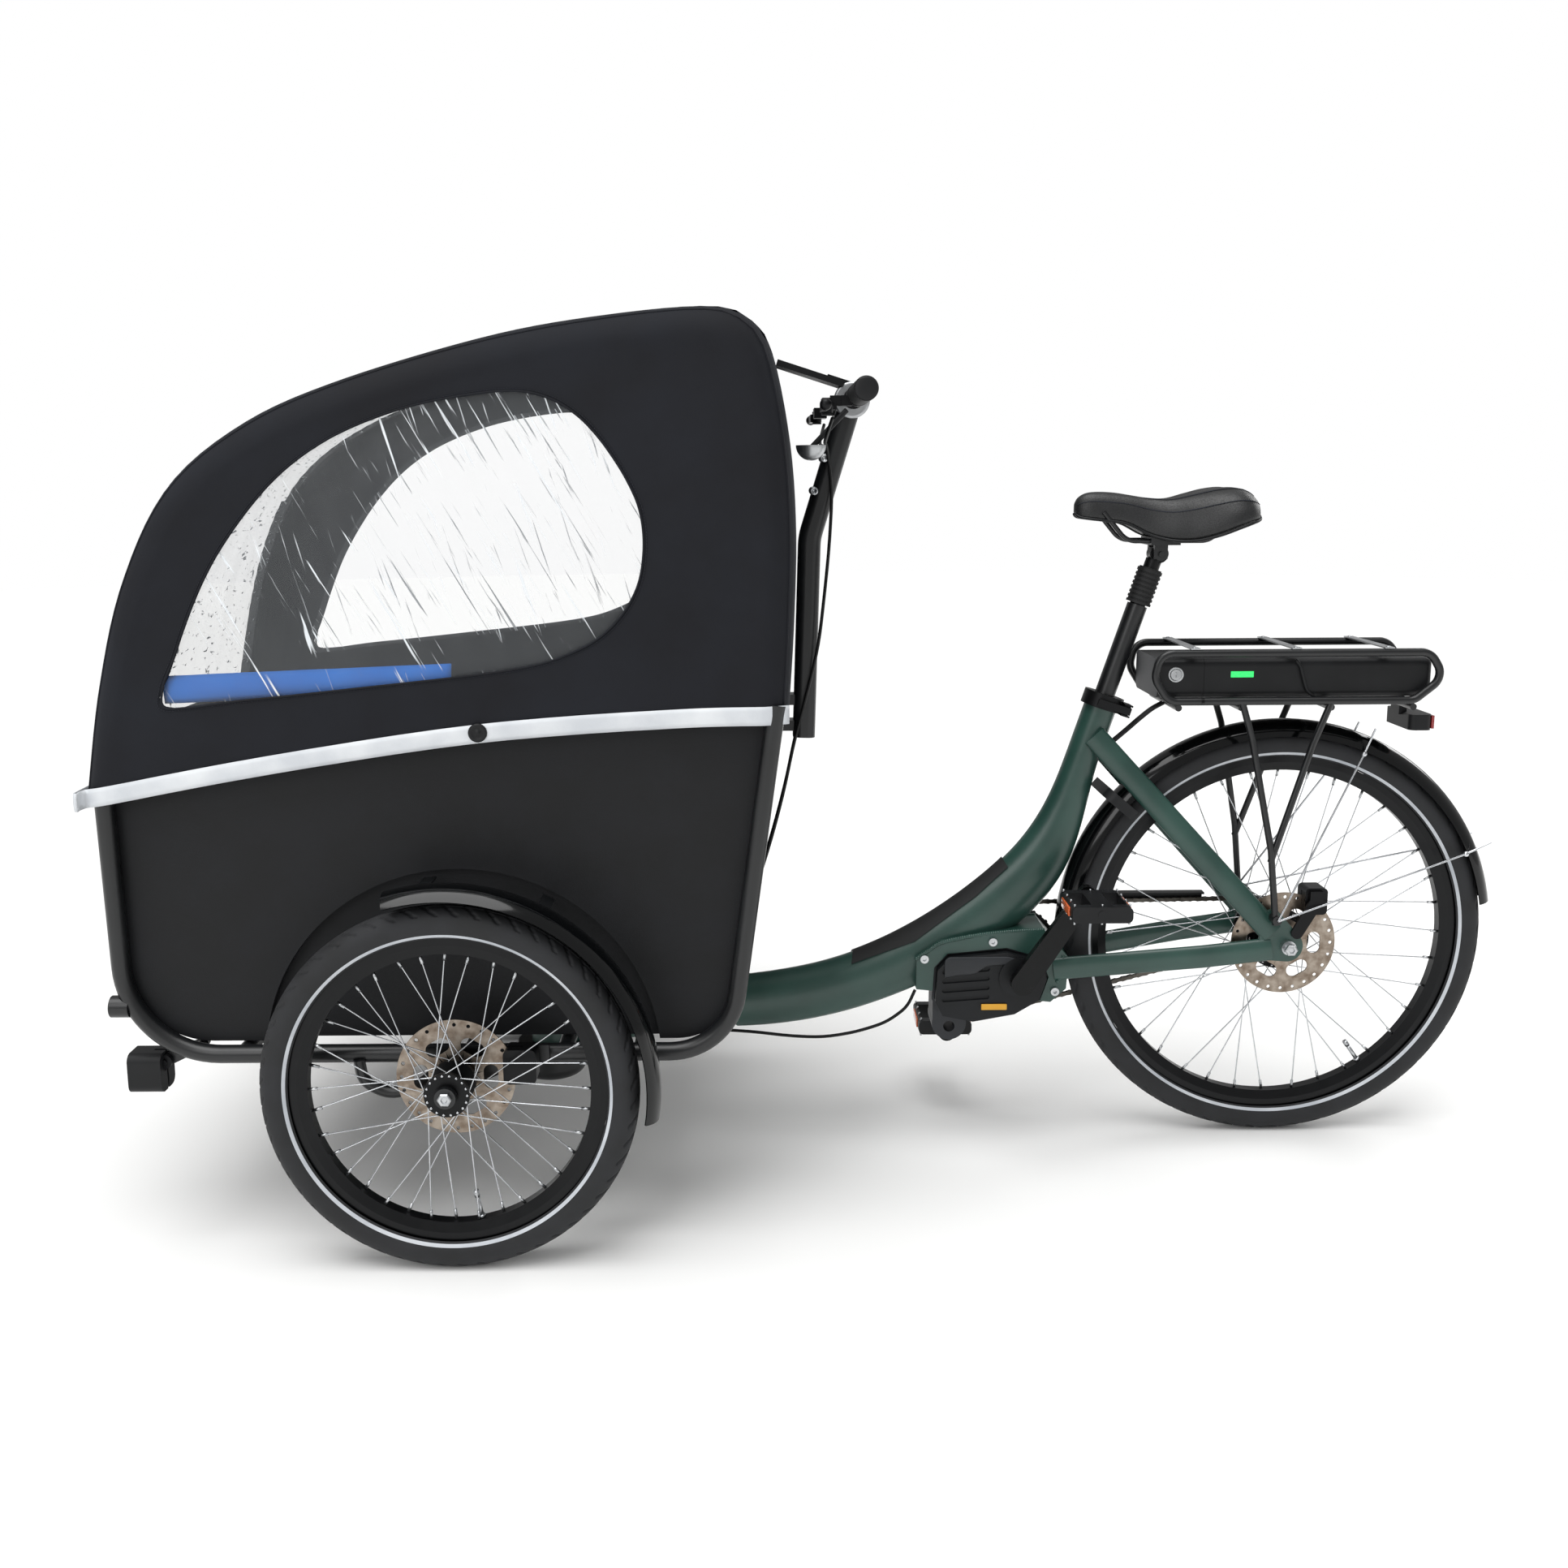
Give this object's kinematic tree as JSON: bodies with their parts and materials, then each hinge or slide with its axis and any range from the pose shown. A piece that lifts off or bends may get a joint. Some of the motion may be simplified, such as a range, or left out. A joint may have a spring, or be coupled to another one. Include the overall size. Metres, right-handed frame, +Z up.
{
  "type": "cargo bicycle",
  "caption": "Front-box electric cargo tricycle with a fabric hood; the box, front wheels and handlebar steer together under a low step-through frame.",
  "frame": {"origin": "on the ground, under the middle of the overall length and width", "axes": "+X to the rear, +Y to the rider's right, +Z up"},
  "size_m": [2.0498, 0.892, 1.2639],
  "materials": {
    "battery_plastic": "fine grain",
    "black_enamel": "satin",
    "box_panel": "matte",
    "bright_steel": "polished",
    "frame_enamel": "satin",
    "gloss_black": "gloss",
    "hood_cloth": "matte",
    "motor_cover": "moulded",
    "rim_aluminium": "black anodised",
    "saddle_cover": "soft grain",
    "soft_rubber": "matte",
    "spoke_steel": "drawn",
    "tyre_rubber": "matte"
  },
  "bodies": {
    "rear_frame": {"main_frame": "frame_enamel", "rear_stays": "frame_enamel", "drive_unit": "motor_cover", "drive_cover": "motor_cover", "bracket_bolts": "bright_steel", "tube_protector": "soft_rubber", "head_cup": "black_enamel", "seat_collar": "black_enamel", "rear_fender": "gloss_black", "fender_stays": "bright_steel", "carrier_frame": "black_enamel", "carrier_bars": "bright_steel", "battery_dock": "battery_plastic", "tail_lamp": "gloss_black", "ring_lock": "battery_plastic", "chain_guard": "battery_plastic", "rear_caliper": "black_enamel", "rear_axle": "bright_steel", "chain": "bright_steel", "frame_cables": "soft_rubber"},
    "battery": {"battery_case": "battery_plastic"},
    "battery_key": {"key_cylinder": "bright_steel"},
    "seat_post": {"seat_post": "black_enamel"},
    "saddle_carrier": {"suspension_head": "black_enamel", "post_bellows": "soft_rubber"},
    "saddle": {"saddle_cradle": "black_enamel", "saddle": "saddle_cover"},
    "seat_lever": {"seat_lever": "black_enamel"},
    "crankset": {"crankset": "black_enamel", "chainring": "black_enamel"},
    "pedal_left": {"pedal_left": "battery_plastic"},
    "pedal_right": {"pedal_right": "battery_plastic"},
    "rear_wheel": {"rear_tyre": "tyre_rubber", "rear_rim": "rim_aluminium", "rear_spokes": "spoke_steel", "rear_hub": "rim_aluminium"},
    "rear_sprocket": {"rear_sprocket": "bright_steel"},
    "front_carriage": {"carriage_frame": "black_enamel", "cargo_box": "box_panel", "hood": "hood_cloth", "front_fenders": "gloss_black", "wheel_brackets": "black_enamel", "front_calipers": "black_enamel", "handle_post": "black_enamel", "handlebar": "black_enamel", "lever_mounts": "black_enamel", "bar_fittings": "battery_plastic", "front_hoses": "soft_rubber"},
    "lamp_left": {"lamp_left": "battery_plastic"},
    "lamp_right": {"lamp_right": "battery_plastic"},
    "brake_lever_left": {"brake_lever_left": "black_enamel"},
    "brake_lever_right": {"brake_lever_right": "black_enamel"},
    "front_wheel_left": {"front_left_tyre": "tyre_rubber", "front_left_rim": "rim_aluminium", "front_left_spokes": "spoke_steel", "front_left_hub": "rim_aluminium"},
    "front_wheel_right": {"front_right_tyre": "tyre_rubber", "front_right_rim": "rim_aluminium", "front_right_spokes": "spoke_steel", "front_right_hub": "rim_aluminium"}
  },
  "joints": [
    {"name": "steering", "type": "hinge", "parent": "rear_frame", "child": "front_carriage", "pos_m": [-0.45389, 0, 0.2], "axis": [0, 0, 1], "range_deg": [-35, 35]},
    {"name": "front_wheel_left_spin", "type": "hinge", "parent": "front_carriage", "child": "front_wheel_left", "pos_m": [-0.5289, -0.41, 0.25], "axis": [0, 1, 0], "continuous": true},
    {"name": "front_wheel_right_spin", "type": "hinge", "parent": "front_carriage", "child": "front_wheel_right", "pos_m": [-0.5289, 0.41, 0.25], "axis": [0, 1, 0], "continuous": true},
    {"name": "rear_wheel_spin", "type": "hinge", "parent": "rear_frame", "child": "rear_wheel", "pos_m": [0.6871, 0, 0.3265], "axis": [0, 1, 0], "continuous": true},
    {"name": "crank_spin", "type": "hinge", "parent": "rear_frame", "child": "crankset", "pos_m": [0.2821, 0, 0.272], "axis": [0, 1, 0], "continuous": true},
    {"name": "sprocket_spin", "type": "hinge", "parent": "rear_frame", "child": "rear_sprocket", "pos_m": [0.6871, 0, 0.3265], "axis": [0, 1, 0], "continuous": true},
    {"name": "pedal_left_spin", "type": "hinge", "parent": "crankset", "child": "pedal_left", "pos_m": [0.37636, -0.14, 0.41227], "axis": [0, 1, 0], "continuous": true},
    {"name": "pedal_right_spin", "type": "hinge", "parent": "crankset", "child": "pedal_right", "pos_m": [0.18785, 0.14, 0.13173], "axis": [0, 1, 0], "continuous": true},
    {"name": "seat_height", "type": "slide", "parent": "rear_frame", "child": "seat_post", "axis": [0.314, 0, 0.9494], "range_m": [-0.08, 0.06]},
    {"name": "seat_suspension", "type": "slide", "parent": "seat_post", "child": "saddle_carrier", "axis": [0.314, 0, 0.9494], "range_m": [-0.03, 0], "stiffness_N_per_m": 20000, "springref_m": 0.01},
    {"name": "saddle_tilt", "type": "hinge", "parent": "saddle_carrier", "child": "saddle", "pos_m": [0.48585, 0, 0.92264], "axis": [0, 1, 0], "range_deg": [-8, 8]},
    {"name": "seat_lever_open", "type": "hinge", "parent": "rear_frame", "child": "seat_lever", "pos_m": [0.44119, -0.02, 0.68568], "axis": [0.314, 0, 0.9494], "range_deg": [0, 100]},
    {"name": "battery_slide", "type": "slide", "parent": "rear_frame", "child": "battery", "axis": [1, 0, 0], "range_m": [0, 0.15]},
    {"name": "key_turn", "type": "hinge", "parent": "rear_frame", "child": "battery_key", "pos_m": [0.50311, -0.06, 0.746], "axis": [0, 1, 0], "range_deg": [0, 90]},
    {"name": "lamp_left_tilt", "type": "hinge", "parent": "front_carriage", "child": "lamp_left", "pos_m": [-0.9469, -0.2986, 0.246], "axis": [0, 1, 0], "range_deg": [-12, 12]},
    {"name": "lamp_right_tilt", "type": "hinge", "parent": "front_carriage", "child": "lamp_right", "pos_m": [-0.9469, 0.2986, 0.246], "axis": [0, 1, 0], "range_deg": [-12, 12]},
    {"name": "brake_left_pull", "type": "hinge", "parent": "front_carriage", "child": "brake_lever_left", "pos_m": [-0.02389, -0.186, 1.134], "axis": [0, 0, 1], "range_deg": [0, 12], "stiffness_Nm_per_rad": 1.5, "springref_deg": -11.46},
    {"name": "brake_right_pull", "type": "hinge", "parent": "front_carriage", "child": "brake_lever_right", "pos_m": [-0.02389, 0.186, 1.134], "axis": [0, 0, 1], "range_deg": [-12, 0], "stiffness_Nm_per_rad": 1.5, "springref_deg": 11.46}
  ],
  "couplings": [
    {"joint": "sprocket_spin", "follows": "crank_spin", "ratio": 2.3333}
  ]
}
